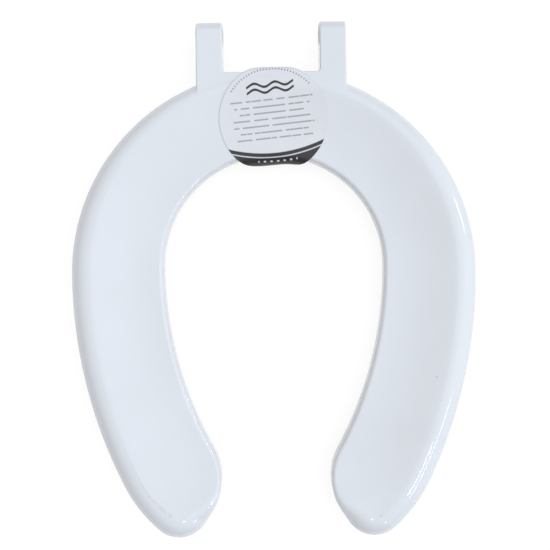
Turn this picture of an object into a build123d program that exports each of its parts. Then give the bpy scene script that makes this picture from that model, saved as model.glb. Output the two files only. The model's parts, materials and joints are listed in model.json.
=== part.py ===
from build123d import *
import math
import os

os.makedirs("parts", exist_ok=True)

# Plan of the ring. It is drawn about the ring centre, with the legs running forward.
outer_r = 180.0         # round back of the ring
ring_width = 81.6       # widest line of the ring, outer outline to hole
flank_r = 425.0         # long outer arc of each leg
shoulder_r = 128.0      # tighter outer arc that leads into each leg tip
tip_r = 27.5            # round end of each leg
tip_reach = 235.3       # ring centre to the foremost point of the tips
tip_in = 38.8           # long outer arc to the tip's centre, measured sideways
hole_setback = 6.3      # hole centre behind the ring centre
hole_flank_r = 340.0    # long inner arc of each leg
bulge_r = 51.5          # inner bulge just behind each leg tip
bulge_back = 23.7       # the bulge's centre lies this far behind the tip's centre

# Ring in section
buffer_height = 7.0     # rubber that stands below the moulding
body_depth = 23.0       # lower edge of the skirts to the crest
roll_in = 18.0          # width of the rolled outer rim, seen from above
back_roll_in = 11.0     # the rolled rim narrows to this at the middle of the back
roll_height = 13.0
edge_r = 4.0            # rounded inner edge
dish_depth = 9.0        # fall from the crest to the inner edge
wall = 5.0              # thickness of the moulded shell
core_edge_r = 2.0       # rounding of the hollow along its inner edge

# Hinge arms and the flat deck between them
arm_length = 42.3       # the noses stand this far behind the round back
arm_span = 132.2        # outer face to outer face
arm_width = 23.2
arm_edge_r = 1.8        # broken edges of arms and deck
arm_root_r = 3.0        # fillet between an arm and the deck's back edge
deck_back = 4.0         # the deck's straight back edge lies this far inside the round back
deck_drop = 0.5         # the deck lies this far below the crest
deck_lap = 2.0          # the deck runs this far under the dish side of the crest

# Hinge bushes
rod_bore_r = 4.1        # bore for an 8 mm hinge rod
bush_wall = 2.2
bush_flange_r = 8.6
bush_flange_depth = 1.8
bush_stand_proud = 0.3
bush_press_gap = 0.02
bush_middle_gap = 0.6   # space between the two bushes of one arm

# Ribs and pads under the ring
rib_width = 3.4
rib_rise = 3.0          # ribs stop this far above the skirts' lower edge
back_rib_count = 11
back_rib_step = 16.0    # degrees about the ring centre
leg_rib_count = 5
leg_rib_step = 5.2      # degrees about the centre of the leg's outer arc
pad_border = 2.5        # pad around each buffer

# Buffers and their screws
buffer_length = 40.0
buffer_width = 18.0
buffer_edge_r = 2.4
back_buffer_angle = 50.0    # degrees about the ring centre, from the widest line
front_buffer_back = 64.0    # foremost point of the tips back to the front buffers
screw_r = 2.0
screw_length = 15.0
screw_head_r = 4.0
screw_head_depth = 2.4
screw_head_edge_r = 0.9
screw_recess = 1.6      # the head lies this far above the buffer's sole
screw_point = 1.2
cross_width = 1.1       # cross recess in the head
cross_length = 4.6
cross_depth = 1.4
head_gap = 0.6          # head to the buffer's counterbore
shank_gap = 0.2         # shank to the buffer's hole
thread_gap = 0.03       # shank to the hole in the pad
hole_end_gap = 0.4

# Round paper label
label_r = 48.2
label_in = 44.5         # label centre in from the round back
label_aside = 1.4       # label centre to the right of the middle
label_front_reach = 41.3    # label centre to its front edge, seen from above
label_rear_reach = 45.3     # label centre to its rear edge, seen from above
label_paper = 0.2
label_glue = 0.06       # film of glue under the label
label_bend_reach = 16.0     # bend of the free edge over the hole
label_bend_drop = 11.0
label_tail_reach = 6.0      # bend of the free edge behind the deck
label_tail_drop = 4.0
label_flat = 6.5        # where the label leaves the deck for the crest, in from the round back

overrun = 2.0           # cutters run past the faces that they cut

# Shares that shape the curves
quarter_share = 0.5523      # handle length of a quarter round
dish_start_share = 0.06     # handles of the dish
dish_end_share = 0.55
half_roll_share = 0.46      # widest roll on a narrow section
bend_start_share = 0.30     # handles of the label's bend
bend_end_share = 0.30
body_shares = (0, 0.12, 0.24, 0.36, 0.48, 0.58, 0.66, 0.72, 0.77, 0.82, 0.86, 0.895, 0.925)
tip_shares = (0.325, 0.20, 0.10, 0.04, 0.01, 0.002)
back_angles = (105, 90, 75, 60, 45, 30, 15)
label_angles = (58, 74, 90, 106, 122)

skirt_z = buffer_height
crest_z = skirt_z + body_depth
deck_z = crest_z - deck_drop
roll_foot_z = crest_z - roll_height
hole_r = outer_r - ring_width
middle_in = ring_width / 2      # outer outline to the ring's middle line
deck_reach = outer_r - deck_back
arm_reach = outer_r + arm_length
ring_y = (tip_reach - arm_reach) / 2
nose_r = (deck_z - skirt_z) / 2
arm_x = (arm_span - arm_width) / 2
arm_gap = arm_span - 2 * arm_width
hinge_y = ring_y + arm_reach - nose_r
hinge_z = skirt_z + nose_r
bush_r = rod_bore_r + bush_wall
head_z = screw_recess + screw_head_depth
front_buffer_turn = math.degrees(math.asin((tip_reach - front_buffer_back) / (flank_r - middle_in)))


def circle_meet(c1, r1, c2, r2):
    """Outward crossing point of two circles, seen from the middle of the seat."""
    dx = c2[0] - c1[0]
    dy = c2[1] - c1[1]
    reach = math.hypot(dx, dy)
    along = (reach ** 2 + r1 ** 2 - r2 ** 2) / (2 * reach)
    across = math.sqrt(r1 ** 2 - along ** 2)
    return (c1[0] + (along * dx + across * dy) / reach, c1[1] + (along * dy - across * dx) / reach)


def toward(start, through, length):
    """Point at a length from start, in the direction of through."""
    share = length / math.dist(start, through)
    return (start[0] + share * (through[0] - start[0]), start[1] + share * (through[1] - start[1]))


# Arc centres of the right leg, as (sideways, forward) from the ring centre
flank_c = (outer_r - flank_r, 0)
tip_ahead = tip_reach - tip_r
tip_c = (flank_c[0] + math.sqrt(flank_r ** 2 - tip_ahead ** 2) - tip_in, tip_ahead)
shoulder_c = circle_meet(flank_c, flank_r - shoulder_r, tip_c, shoulder_r - tip_r)
hole_flank_c = (hole_r - hole_flank_r, -hole_setback)
bulge_ahead = tip_ahead - bulge_back
bulge_out = math.sqrt((hole_flank_r + bulge_r) ** 2 - (bulge_ahead + hole_setback) ** 2)
bulge_c = (hole_flank_c[0] + bulge_out, bulge_ahead)

# Direction of the straight chamfer that touches both the bulge and the tip
chamfer_turn = math.atan2(bulge_c[1] - tip_c[1], bulge_c[0] - tip_c[0])
chamfer_turn += math.acos((bulge_r - tip_r) / math.dist(bulge_c, tip_c))
chamfer_normal = (math.cos(chamfer_turn), math.sin(chamfer_turn))


def arc_side(ahead, centre, radius, sign):
    """Half width on an arc, and the cosine of its slope there."""
    cosine = math.sqrt(1 - ((ahead - centre[1]) / radius) ** 2)
    return centre[0] + sign * radius * cosine, cosine


def outer_side(ahead, inset):
    """Half width and slope of the outer outline of a leg."""
    if ahead <= toward(flank_c, shoulder_c, flank_r - inset)[1]:
        return arc_side(ahead, flank_c, flank_r - inset, 1)
    if ahead <= toward(shoulder_c, tip_c, shoulder_r - inset)[1]:
        return arc_side(ahead, shoulder_c, shoulder_r - inset, 1)
    return arc_side(ahead, tip_c, tip_r - inset, 1)


def inner_side(ahead, inset):
    """Half width and slope of the inner outline of a leg."""
    chamfer_start = bulge_c[1] - (bulge_r - inset) * chamfer_normal[1]
    if ahead <= toward(hole_flank_c, bulge_c, hole_flank_r + inset)[1]:
        return arc_side(ahead, hole_flank_c, hole_flank_r + inset, 1)
    if ahead <= chamfer_start:
        return arc_side(ahead, bulge_c, bulge_r - inset, -1)
    if ahead <= tip_c[1] - (tip_r - inset) * chamfer_normal[1]:
        start_x = bulge_c[0] - (bulge_r - inset) * chamfer_normal[0]
        run = (ahead - chamfer_start) * chamfer_normal[1] / chamfer_normal[0]
        return start_x - run, chamfer_normal[0]
    return arc_side(ahead, tip_c, tip_r - inset, -1)


def clamped(value):
    return min(max(value, 0), 1)


def roll_at(start):
    """Width of the rolled rim at a point of the outer outline. It narrows round the back."""
    behind = max(start[1] - ring_y, 0) / math.dist(start, (0, ring_y))
    return roll_in - (roll_in - back_roll_in) * behind ** 2


def crown(start, end, slopes, ahead, inset):
    """Widths and heights of the rolled rim, the dish and the inner edge on one section."""
    width = math.dist(start, end)
    roll = roll_at(start) - inset
    rise = roll_height - inset
    lift = math.sqrt(1 - (1 - clamped((tip_reach - inset - ahead) / roll)) ** 2)
    tip_share = clamped((ahead - bulge_c[1]) / (tip_reach - tip_r / 2 - bulge_c[1])) ** 2
    small = core_edge_r if inset else edge_r
    edge = small + (roll - small) * tip_share
    across = width * (slopes[0] + slopes[1]) / 2
    fall = dish_depth * clamped((across - roll_in) / (ring_width - roll_in))
    top = roll_foot_z + rise * lift
    edge_top = roll_foot_z + (rise - fall) * lift
    edge_fall = (edge_top - roll_foot_z) * tip_share + small * (1 - tip_share) * lift
    return {
        "roll": min(roll / slopes[0], half_roll_share * width),
        "dish_end": width - min(edge / slopes[1], half_roll_share * width),
        "width": width,
        "top": top,
        "edge_top": edge_top,
        "edge_foot": edge_top - edge_fall,
    }


def placer(start, end, rise):
    """Function that puts a point of a section at its place in the ring."""
    def at(along, z):
        x, y = toward(start, end, along)
        return Vector(x, y, z + rise)
    return at


def dish_curve(at, c):
    """Curve from the crest down to the inner edge."""
    flat = c["dish_end"] - c["roll"]
    return Edge.make_bezier(
        at(c["roll"], c["top"]),
        at(c["roll"] + dish_start_share * flat, c["top"]),
        at(c["dish_end"] - dish_end_share * flat, c["edge_top"]),
        at(c["dish_end"], c["edge_top"]),
    )


def quarter(at, foot, foot_z, top, top_z):
    """Quarter round from an upright foot to a level top."""
    return Edge.make_bezier(
        at(foot, foot_z),
        at(foot, foot_z + quarter_share * (top_z - foot_z)),
        at(top + quarter_share * (foot - top), top_z),
        at(top, top_z),
    )


def ring_section(start, end, slopes, ahead, inset):
    """Closed section of the ring, from an outer to an inner outline point."""
    at = placer(start, end, 0)
    c = crown(start, end, slopes, ahead, inset)
    base = skirt_z - (overrun if inset else 0)
    return Wire([
        Edge.make_line(at(0, base), at(0, roll_foot_z)),
        quarter(at, 0, roll_foot_z, c["roll"], c["top"]),
        dish_curve(at, c),
        quarter(at, c["width"], c["edge_foot"], c["dish_end"], c["edge_top"]),
        Edge.make_line(at(c["width"], c["edge_foot"]), at(c["width"], base)),
        Edge.make_line(at(c["width"], base), at(0, base)),
    ])


def back_points(angle, inset):
    """Outer and inner outline points on a ray from the ring centre, round the back."""
    sine = math.sin(math.radians(angle))
    cosine = math.cos(math.radians(angle))
    inner = hole_setback * sine + math.sqrt((hole_r + inset) ** 2 - (hole_setback * cosine) ** 2)
    outer = outer_r - inset
    return (outer * cosine, ring_y + outer * sine), (inner * cosine, ring_y + inner * sine)


def half_ring(inset):
    """Right half of the ring, or with an inset the right half of the core that hollows it."""
    sections = []
    for angle in back_angles:
        start, end = back_points(angle, inset)
        sections.append(ring_section(start, end, (1, 1), 0, inset))
    reach = tip_reach - inset
    stations = [reach * share for share in body_shares]
    stations += [reach - (tip_r - inset) * share for share in tip_shares]
    for ahead in stations:
        out_x, out_slope = outer_side(ahead, inset)
        in_x, in_slope = inner_side(ahead, inset)
        y = ring_y - ahead
        sections.append(ring_section((out_x, y), (in_x, y), (out_slope, in_slope), ahead, inset))
    right = Pos(0, ring_y, 0) * Box(
        outer_r + overrun, 2 * (tip_reach + overrun), 2 * crest_z + overrun,
        align=(Align.MIN, Align.CENTER, Align.CENTER))
    return Solid.make_loft(sections) & right


def both_sides(shape):
    return shape + mirror(shape, about=Plane.YZ)


def arms_and_deck():
    """Flat deck with the two arms, before it joins the ring."""
    arm = Pos(arm_x, ring_y) * Rectangle(arm_width, arm_reach, align=(Align.CENTER, Align.MIN))
    deck = Pos(0, ring_y) * Rectangle(2 * arm_x, deck_reach, align=(Align.CENTER, Align.MIN))
    inside = Pos(0, ring_y) * Circle(outer_r - back_roll_in - deck_lap)
    plan = both_sides(arm) + deck - inside
    block = extrude(Pos(0, 0, skirt_z) * plan, deck_z - skirt_z)
    side = Pos(ring_y, skirt_z) * Rectangle(hinge_y - ring_y, 2 * nose_r, align=(Align.MIN, Align.MIN))
    side += Pos(hinge_y, hinge_z) * Circle(nose_r)
    block &= extrude(Plane.YZ * side, arm_span, both=True)
    back_y = ring_y + deck_reach
    roots = [e for e in block.edges().filter_by(Axis.Z) if abs(e.center().Y - back_y) < arm_edge_r]
    block = fillet(roots, arm_root_r)
    rims = block.faces().filter_by(Axis.X).edges() + block.faces().sort_by(Axis.Z)[-1].edges()
    uprights = rims.filter_by(Axis.Z)
    front = [e for e in rims if e.center().Y < ring_y + outer_r - back_roll_in]
    return fillet([e for e in rims if e not in uprights + front], arm_edge_r)


def behind_deck(back):
    """Space between the arms behind a line at this distance from the ring centre."""
    return Pos(0, ring_y + back, 0) * Box(
        arm_gap, arm_reach, 2 * crest_z + overrun, align=(Align.CENTER, Align.MIN, Align.CENTER))


def arm_pocket():
    """Hollow under the right arm, open to the ring's own hollow."""
    start = ring_y + outer_r - arm_width
    height = deck_z - wall - skirt_z + overrun
    return Pos(arm_x, start, skirt_z - overrun) * Box(
        arm_width - 2 * wall, hinge_y - nose_r - start, height,
        align=(Align.CENTER, Align.MIN, Align.MIN))


def bush_seat():
    """Bore through the right arm with a counterbore at each face."""
    seat = Cylinder(bush_r + bush_press_gap, arm_width + 2 * overrun)
    middle = arm_width - 2 * (bush_flange_depth - bush_stand_proud)
    sinks = Cylinder(bush_flange_r + bush_press_gap, arm_width + 2 * overrun)
    sinks -= Cylinder(2 * bush_flange_r, middle)
    return Pos(arm_x, hinge_y, hinge_z) * Rot(0, 90, 0) * (seat + sinks)


def bush():
    """Flanged bush along Z, flange on top, seated on an arm face at height zero."""
    down = (Align.CENTER, Align.CENTER, Align.MAX)
    body = Cylinder(bush_r, (arm_width - bush_middle_gap) / 2, align=down)
    body += Pos(0, 0, bush_stand_proud) * Cylinder(bush_flange_r, bush_flange_depth, align=down)
    body -= Cylinder(rod_bore_r, 2 * arm_width)
    mouth = body.edges().filter_by(GeomType.CIRCLE).sort_by(Axis.Z)[-2:]
    return chamfer(mouth, bush_stand_proud)


def back_spot(side):
    """Place of a back buffer on the ring's middle line, turned along the ring."""
    turn = Rot(0, 0, 90 - side * (90 - back_buffer_angle))
    return Pos(0, ring_y, 0) * turn * Pos(outer_r - middle_in, 0, 0) * Rot(0, 0, 90)


def front_spot(side):
    """Place of a front buffer on the leg's middle line, turned along the leg."""
    place = Pos(side * flank_c[0], ring_y, 0) * Rot(0, 0, -side * front_buffer_turn)
    return place * Pos(side * (flank_r - middle_in), 0, 0) * Rot(0, 0, 90)


buffer_spots = {
    "front_right": front_spot(1),
    "front_left": front_spot(-1),
    "back_right": back_spot(1),
    "back_left": back_spot(-1),
}


def cross_ribs():
    """Upright ribs across the ring, of both legs and the round back."""
    low = skirt_z + rib_rise
    places = []
    for number in range(back_rib_count):
        angle = 90 + (number - (back_rib_count - 1) / 2) * back_rib_step
        places.append(Pos(0, ring_y, low) * Rot(0, 0, angle) * Pos(outer_r, 0, 0))
    for number in range(leg_rib_count):
        turn = Rot(0, 0, -number * leg_rib_step)
        places.append(Pos(flank_c[0], ring_y, low) * turn * Pos(flank_r, 0, 0))
    plate = Box(ring_width + wall, rib_width, crest_z - low, align=(Align.MAX, Align.CENTER, Align.MIN))
    return [both_sides(place * plate) for place in places]


def band(centre_x, radius):
    """Upright rib that follows a circle."""
    low = skirt_z + rib_rise
    rim = Circle(radius + rib_width / 2) - Circle(radius - rib_width / 2)
    return extrude(Pos(centre_x, ring_y, low) * rim, crest_z - low)


def middle_rib():
    """Rib along the ring's middle line, from one leg tip round the back to the other."""
    behind = Pos(0, ring_y, 0) * Box(
        2 * outer_r, outer_r, 2 * crest_z, align=(Align.CENTER, Align.MIN, Align.CENTER))
    ahead = Pos(0, ring_y, 0) * Box(
        outer_r, tip_reach, 2 * crest_z, align=(Align.MIN, Align.MAX, Align.CENTER))
    back = band(0, outer_r - middle_in) & behind
    leg = band(flank_c[0], flank_r - middle_in) & ahead
    return [back, both_sides(leg)]


def pad(spot):
    """Solid pad that carries one buffer."""
    outline = SlotOverall(buffer_length + 2 * pad_border, buffer_width + 2 * pad_border)
    return spot * extrude(Pos(0, 0, skirt_z - overrun) * outline, body_depth + overrun)


def screw_hole(spot):
    """Hole in a pad for the buffer's screw."""
    depth = head_z + screw_length + hole_end_gap
    return spot * Cylinder(screw_r + thread_gap, depth, align=(Align.CENTER, Align.CENTER, Align.MIN))


def seat_ring():
    """The moulding: ring, deck and arms, hollowed from below."""
    body = both_sides(half_ring(0)) - behind_deck(deck_reach) + arms_and_deck()
    hollow = both_sides(half_ring(wall)) - behind_deck(deck_reach - wall) + both_sides(arm_pocket())
    pads = [pad(spot) for spot in buffer_spots.values()]
    for piece in cross_ribs() + middle_rib() + pads:
        hollow -= piece
    body -= hollow
    body -= both_sides(bush_seat())
    for spot in buffer_spots.values():
        body -= screw_hole(spot)
    return body


def buffer():
    """Rubber buffer standing on height zero."""
    body = extrude(SlotOverall(buffer_length, buffer_width), buffer_height)
    body = fillet(body.faces().sort_by(Axis.Z)[0].edges(), buffer_edge_r)
    body -= Cylinder(screw_head_r + head_gap, head_z, align=(Align.CENTER, Align.CENTER, Align.MIN))
    body -= Cylinder(screw_r + shank_gap, 2 * buffer_height, align=(Align.CENTER, Align.CENTER, Align.MIN))
    return body


def screw():
    """Pan head screw with its head down and a cross recess in it."""
    up = (Align.CENTER, Align.CENTER, Align.MIN)
    head = Pos(0, 0, screw_recess) * Cylinder(screw_head_r, screw_head_depth, align=up)
    head = fillet(head.edges().group_by(Axis.Z)[0], screw_head_edge_r)
    shank = Pos(0, 0, head_z) * Cylinder(screw_r, screw_length, align=up)
    shank = chamfer(shank.edges().group_by(Axis.Z)[-1], screw_point)
    body = head + shank
    for turn in (0, 90):
        slot = Pos(0, 0, screw_recess) * Rot(0, 0, turn)
        body -= slot * Box(cross_length, cross_width, 2 * cross_depth)
    return body


def label_section(angle):
    """Thin closed section of the label on one ray from the ring centre."""
    start, end = back_points(angle, 0)
    c = crown(start, end, (1, 1), 0, 0)
    foot = c["width"] + label_bend_reach
    foot_z = c["edge_top"] - label_bend_drop
    run = foot - c["dish_end"]
    ramp_middle = (label_flat + c["roll"]) / 2
    deck_end = outer_r - deck_reach / math.sin(math.radians(angle))
    tail = deck_end - label_tail_reach
    sides = []
    for rise in (label_glue, label_glue + label_paper):
        at = placer(start, end, rise)
        sides.append([
            Edge.make_bezier(
                at(tail, deck_z - label_tail_drop), at(deck_end, deck_z),
                at(deck_end + arm_edge_r, deck_z)),
            Edge.make_line(at(deck_end + arm_edge_r, deck_z), at(label_flat, deck_z)),
            Edge.make_bezier(
                at(label_flat, deck_z), at(ramp_middle, deck_z),
                at(ramp_middle, c["top"]), at(c["roll"], c["top"])),
            dish_curve(at, c),
            Edge.make_bezier(
                at(c["dish_end"], c["edge_top"]),
                at(c["dish_end"] + bend_start_share * run, c["edge_top"]),
                at(foot - bend_end_share * run, foot_z + label_bend_drop / 2),
                at(foot, foot_z)),
        ])
    low, high = sides
    ends = [
        Edge.make_line(low[0].position_at(0), high[0].position_at(0)),
        Edge.make_line(low[-1].position_at(1), high[-1].position_at(1)),
    ]
    return Wire(low + high + ends)


def half_oval(reach, end):
    """Half of the label's outline, which its bends shorten from a circle."""
    half = Rectangle(2 * label_r, label_r, align=(Align.CENTER, end))
    return Ellipse(label_r, reach) & half


def label():
    """Round label on the deck and the dish, bent down at its front and rear edges."""
    sheet = Solid.make_loft([label_section(angle) for angle in label_angles])
    outline = half_oval(label_front_reach, Align.MAX) + half_oval(label_rear_reach, Align.MIN)
    place = Pos(label_aside, ring_y + outer_r - label_in, skirt_z)
    return sheet & extrude(place * outline, 2 * body_depth)


def write(name, shape):
    export_step(shape, "parts/" + name + ".step")


write("seat_ring", seat_ring())
write("round_label", label())

bush_places = {
    "right_outer_bush": Pos(arm_x + arm_width / 2, hinge_y, hinge_z) * Rot(0, 90, 0),
    "right_inner_bush": Pos(arm_x - arm_width / 2, hinge_y, hinge_z) * Rot(0, -90, 0),
    "left_inner_bush": Pos(arm_width / 2 - arm_x, hinge_y, hinge_z) * Rot(0, 90, 0),
    "left_outer_bush": Pos(-arm_width / 2 - arm_x, hinge_y, hinge_z) * Rot(0, -90, 0),
}
for name, place in bush_places.items():
    write(name, place * bush())

screws = []
for name, spot in buffer_spots.items():
    write(name + "_buffer", spot * buffer())
    screws.append(spot * screw())
write("buffer_screws", Compound(children=screws))
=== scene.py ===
"""Open-front toilet seat: one glossy moulding, a paper label, hinge bushes, rubber buffers and screws."""

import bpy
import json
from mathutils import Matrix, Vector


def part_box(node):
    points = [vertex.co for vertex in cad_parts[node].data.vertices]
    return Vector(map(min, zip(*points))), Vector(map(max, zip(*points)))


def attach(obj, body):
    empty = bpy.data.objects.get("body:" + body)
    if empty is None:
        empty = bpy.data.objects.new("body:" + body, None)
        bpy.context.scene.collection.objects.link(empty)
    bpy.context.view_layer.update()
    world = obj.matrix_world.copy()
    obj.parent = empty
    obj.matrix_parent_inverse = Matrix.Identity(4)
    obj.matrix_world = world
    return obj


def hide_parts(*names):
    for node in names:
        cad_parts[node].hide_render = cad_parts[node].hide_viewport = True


bl_info = {
    "name": "Open-front toilet seat",
    "version": (1, 0, 0),
    "blender": (4, 5, 0),
    "location": "3D View > Sidebar > Seat",
    "description": "Builds a horseshoe toilet seat with its label, bushes, buffers and screws",
    "category": "Object",
}

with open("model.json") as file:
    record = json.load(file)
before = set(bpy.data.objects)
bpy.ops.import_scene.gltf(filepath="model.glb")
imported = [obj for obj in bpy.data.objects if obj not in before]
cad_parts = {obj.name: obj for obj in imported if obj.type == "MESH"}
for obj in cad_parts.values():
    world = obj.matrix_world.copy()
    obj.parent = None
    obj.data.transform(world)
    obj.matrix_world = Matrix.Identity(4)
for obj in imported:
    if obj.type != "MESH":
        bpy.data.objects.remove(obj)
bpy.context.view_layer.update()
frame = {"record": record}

import json
import math

import bmesh
import bpy
from bpy.props import FloatProperty, FloatVectorProperty, IntProperty, PointerProperty
from mathutils import Matrix, Vector

MM = 0.001
white = (1, 1, 1)
weld = 1e-7         # points this near become one
crease = 40         # degrees past which an edge of a small piece stays sharp
wide_crease = 32    # the same on the moulding
label_crease = 50   # and on the label
ring_low, ring_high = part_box("seat_ring")
buffer_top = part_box("back_left_buffer")[1].z
bore = next(m for m in frame["record"]["mounts"] if m["name"] == "hinge_rod_bore")


def length(name, description, millimetres):
    """A length that a user can change."""
    metres = millimetres * MM
    return FloatProperty(
        name=name, description=description, default=metres, min=0, unit="LENGTH", subtype="DISTANCE")


def strength(name, description, default):
    return FloatProperty(name=name, description=description, default=default, min=0)


def count(name, description, default):
    return IntProperty(name=name, description=description, default=default, min=1)


def angle(name, description, degrees):
    turn = math.radians(degrees)
    return FloatProperty(name=name, description=description, default=turn, unit="ROTATION", subtype="ANGLE")


def share(name, description, default):
    return FloatProperty(
        name=name, description=description, default=default, min=0, max=1, subtype="FACTOR")


def colour(name, description, default):
    return FloatVectorProperty(
        name=name, description=description, default=default, size=3, min=0, max=1, subtype="COLOR")


class SeatPlan(bpy.types.PropertyGroup):
    """Arcs of the seat, seen from above."""

    outer_r: length("Round back", "Outer radius of the ring's round back", 180)
    ring_width: length("Ring width", "Outer outline to the hole at the widest line", 81.6)
    flank_r: length("Leg arc", "Long outer arc of each leg", 425)
    shoulder_r: length("Shoulder", "Tighter arc that leads into each tip", 128)
    tip_r: length("Tip", "Round end of each leg", 27.5)
    tip_reach: length("Tip reach", "Ring centre to the foremost point of the tips", 235.3)
    tip_in: length("Tip inset", "Long outer arc to the tip's centre", 38.8)
    hole_setback: length("Hole setback", "Hole centre behind the ring centre", 6.3)
    hole_flank_r: length("Hole arc", "Long inner arc of each leg", 340)
    bulge_r: length("Bulge", "Inner bulge behind each tip", 51.5)
    bulge_back: length("Bulge setback", "Bulge centre behind the tip's centre", 23.7)
    back_steps: count("Back steps", "Sections round a quarter of the back", 120)
    leg_steps: count("Leg steps", "Sections along a leg", 100)
    tip_steps: count("Tip steps", "Sections round half a tip", 22)


class SeatSection(bpy.types.PropertyGroup):
    """Depths and roundings of the ring in section."""

    body_depth: length("Depth", "Lower edge of the skirts to the crest", 23)
    roll_in: length("Rolled rim", "Width of the rolled outer rim, seen from above", 18)
    back_roll_in: length("Rolled rim, back", "The rim narrows to this at the middle of the back", 11)
    roll_height: length("Rim height", "Height of the rolled outer rim", 13)
    edge_r: length("Inner edge", "Radius of the inner edge", 4)
    dish_depth: length("Dish", "Fall from the crest to the inner edge", 9)
    wall: length("Wall", "Thickness of the moulded shell", 5)
    core_edge_r: length("Core edge", "Rounding of the hollow along its inner edge", 2)
    skirt_edge_r: length("Skirt edge", "Rounding of the skirts' lower edge", 0.8)
    dish_start: share("Dish start", "First handle of the dish curve", 0.12)
    dish_end: share("Dish end", "Second handle of the dish curve", 0.55)
    roll_steps: count("Roll steps", "Rows round a rolled edge", 12)
    tip_rise: length("Tip rise", "Length over which the dish rises to the crest of a tip", 70)
    dish_steps: count("Dish steps", "Rows across the dish", 26)


class SeatArms(bpy.types.PropertyGroup):
    """Flat deck and hinge arms."""

    span: length("Span", "Outer face to outer face of the arms", 132.2)
    width: length("Arm width", "Width of one arm", 23.2)
    edge_r: length("Broken edge", "Rounding along the arms and the deck", 1.8)
    root_r: length("Root fillet", "Fillet between an arm and the deck's back edge", 3)
    deck_back: length("Deck inset", "Round back to the deck's straight back edge", 4)
    deck_drop: length("Deck drop", "Crest down to the deck", 0.5)
    deck_lap: length("Deck lap", "How far the deck runs under the dish", 2)
    flange_r: length("Flange", "Radius of a bush flange", 8.6)
    flange_depth: length("Flange depth", "Thickness of a bush flange", 1.8)
    flange_proud: length("Flange stand", "How far a flange stands proud of the arm", 0.3)
    bush_wall: length("Bush wall", "Wall of a bush", 2.2)
    bush_gap: length("Bush gap", "Space between the two bushes of one arm", 0.6)
    seat_gap: length("Press gap", "Bush to its seat", 0.02)


class SeatRibs(bpy.types.PropertyGroup):
    """Ribs and pads under the ring."""

    width: length("Rib width", "Thickness of a rib at its root", 3.4)
    draft: length("Rib draft", "How much thinner a rib is at its free edge", 0.9)
    rise: length("Rib rise", "Free edges of the ribs above the skirts' lower edge", 3)
    back_count: count("Back ribs", "Cross ribs round the back", 11)
    back_step: angle("Back rib step", "Turn from one back rib to the next", 16)
    leg_count: count("Leg ribs", "Cross ribs on each leg", 5)
    leg_step: angle("Leg rib step", "Turn from one leg rib to the next", 5.2)
    pad_border: length("Pad border", "Pad around each buffer", 2.5)


class LabelSizes(bpy.types.PropertyGroup):
    """Round paper label."""

    radius: length("Radius", "Radius of the flat label", 48.2)
    back_in: length("Place", "Label centre in from the round back", 44.5)
    aside: length("Aside", "Label centre to the right of the middle", 1.4)
    paper: length("Paper", "Thickness of the paper", 0.2)
    glue: length("Glue", "Film under the paper", 0.06)
    climb: length("Climb", "Where the label starts to climb to the crest", 6.5)
    front_bend_r: length("Front bend", "Bend of the free edge over the hole", 11.0)
    rear_bend_r: length("Rear bend", "Bend of the free edge behind the deck", 6.0)
    wave: share("Wave", "How unevenly the front edge bends", 0.12)
    wave_turns: strength("Waves", "Waves along the front edge", 9)
    wave_start: angle("Wave start", "Where the waves begin", 51.566)
    print_turn: angle("Print turn", "How far the print is turned on the deck", 5.6)
    rings: count("Rings", "Rows from the middle to the edge", 44)
    spokes: count("Spokes", "Columns round the label", 168)


class FootSizes(bpy.types.PropertyGroup):
    """Rubber buffers and their screws."""

    length: length("Length", "Length of a buffer", 40)
    width: length("Width", "Width of a buffer", 18)
    edge_r: length("Edge", "Rounding of a buffer's sole", 2.4)
    groove: length("Groove", "Depth of the groove round the sole", 0.5)
    groove_in: length("Groove place", "Side of a buffer to its groove", 3.2)
    groove_width: length("Groove width", "Width of the groove at the sole", 0.85)
    groove_slope: length("Groove slope", "How much each wall of the groove leans in", 0.15)
    counter_edge: length("Counterbore edge", "Broken edge of the counterbore", 0.25)
    back_angle: angle("Back place", "Back buffers, from the widest line", 50)
    front_back: length("Front place", "Foremost point of the tips back to the front buffers", 64)
    screw_r: length("Screw", "Radius over the screw's thread", 2)
    screw_length: length("Screw length", "Screw below its head", 15)
    thread_depth: length("Thread depth", "Crest to root of the thread", 0.35)
    pitch: length("Pitch", "Rise of the thread in one turn", 1.6)
    head_r: length("Head", "Radius of the screw's head", 4)
    head_depth: length("Head depth", "Depth of the screw's head", 2.4)
    head_edge: length("Head edge", "Rounding of the head's face", 0.9)
    head_break: length("Head break", "Broken edge under the head", 0.2)
    point_length: length("Point", "Length of the screw's point", 2.2)
    point_share: share("Point width", "Width of the point's end, as a share", 0.25)
    head_recess: length("Head recess", "The head lies this far above the sole", 1.6)
    head_gap: length("Head gap", "Head to the counterbore", 0.6)
    shank_gap: length("Shank gap", "Shank to the buffer's hole", 0.2)
    cross_width: length("Cross width", "Width of the cross recess", 1.1)
    cross_length: length("Cross length", "Length of the cross recess", 4.6)
    cross_depth: length("Cross depth", "Depth of the cross recess", 1.4)
    cross_taper: share("Cross taper", "Width at the foot of the recess, as a share", 0.72)
    screw_turn: angle("Screw turn", "Turn from one screw to the next", 40.107)


class SeatColours(bpy.types.PropertyGroup):
    """Colours of the finishes, as linear values."""

    plastic: colour("Moulding", "Glossy white moulding", (0.712, 0.757, 0.82))
    scuff: colour("Scuffs", "Scuffs and specks on the moulding", (0.34, 0.36, 0.37))
    paper: colour("Paper", "Label paper", (0.72, 0.75, 0.81))
    ink: colour("Ink", "Print on the label", (0.030, 0.027, 0.032))
    # The fine ink colour also paints the shade along the label's edge.
    fine_ink_and_edge_shade: colour("Fine ink", "Thin lines on the label", (0.15, 0.16, 0.19))
    nylon: colour("Nylon", "Hinge bushes", (0.76, 0.77, 0.74))
    rubber: colour("Rubber", "Buffers", (0.56, 0.58, 0.60))
    steel: colour("Steel", "Screws", (0.60, 0.60, 0.61))


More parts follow.
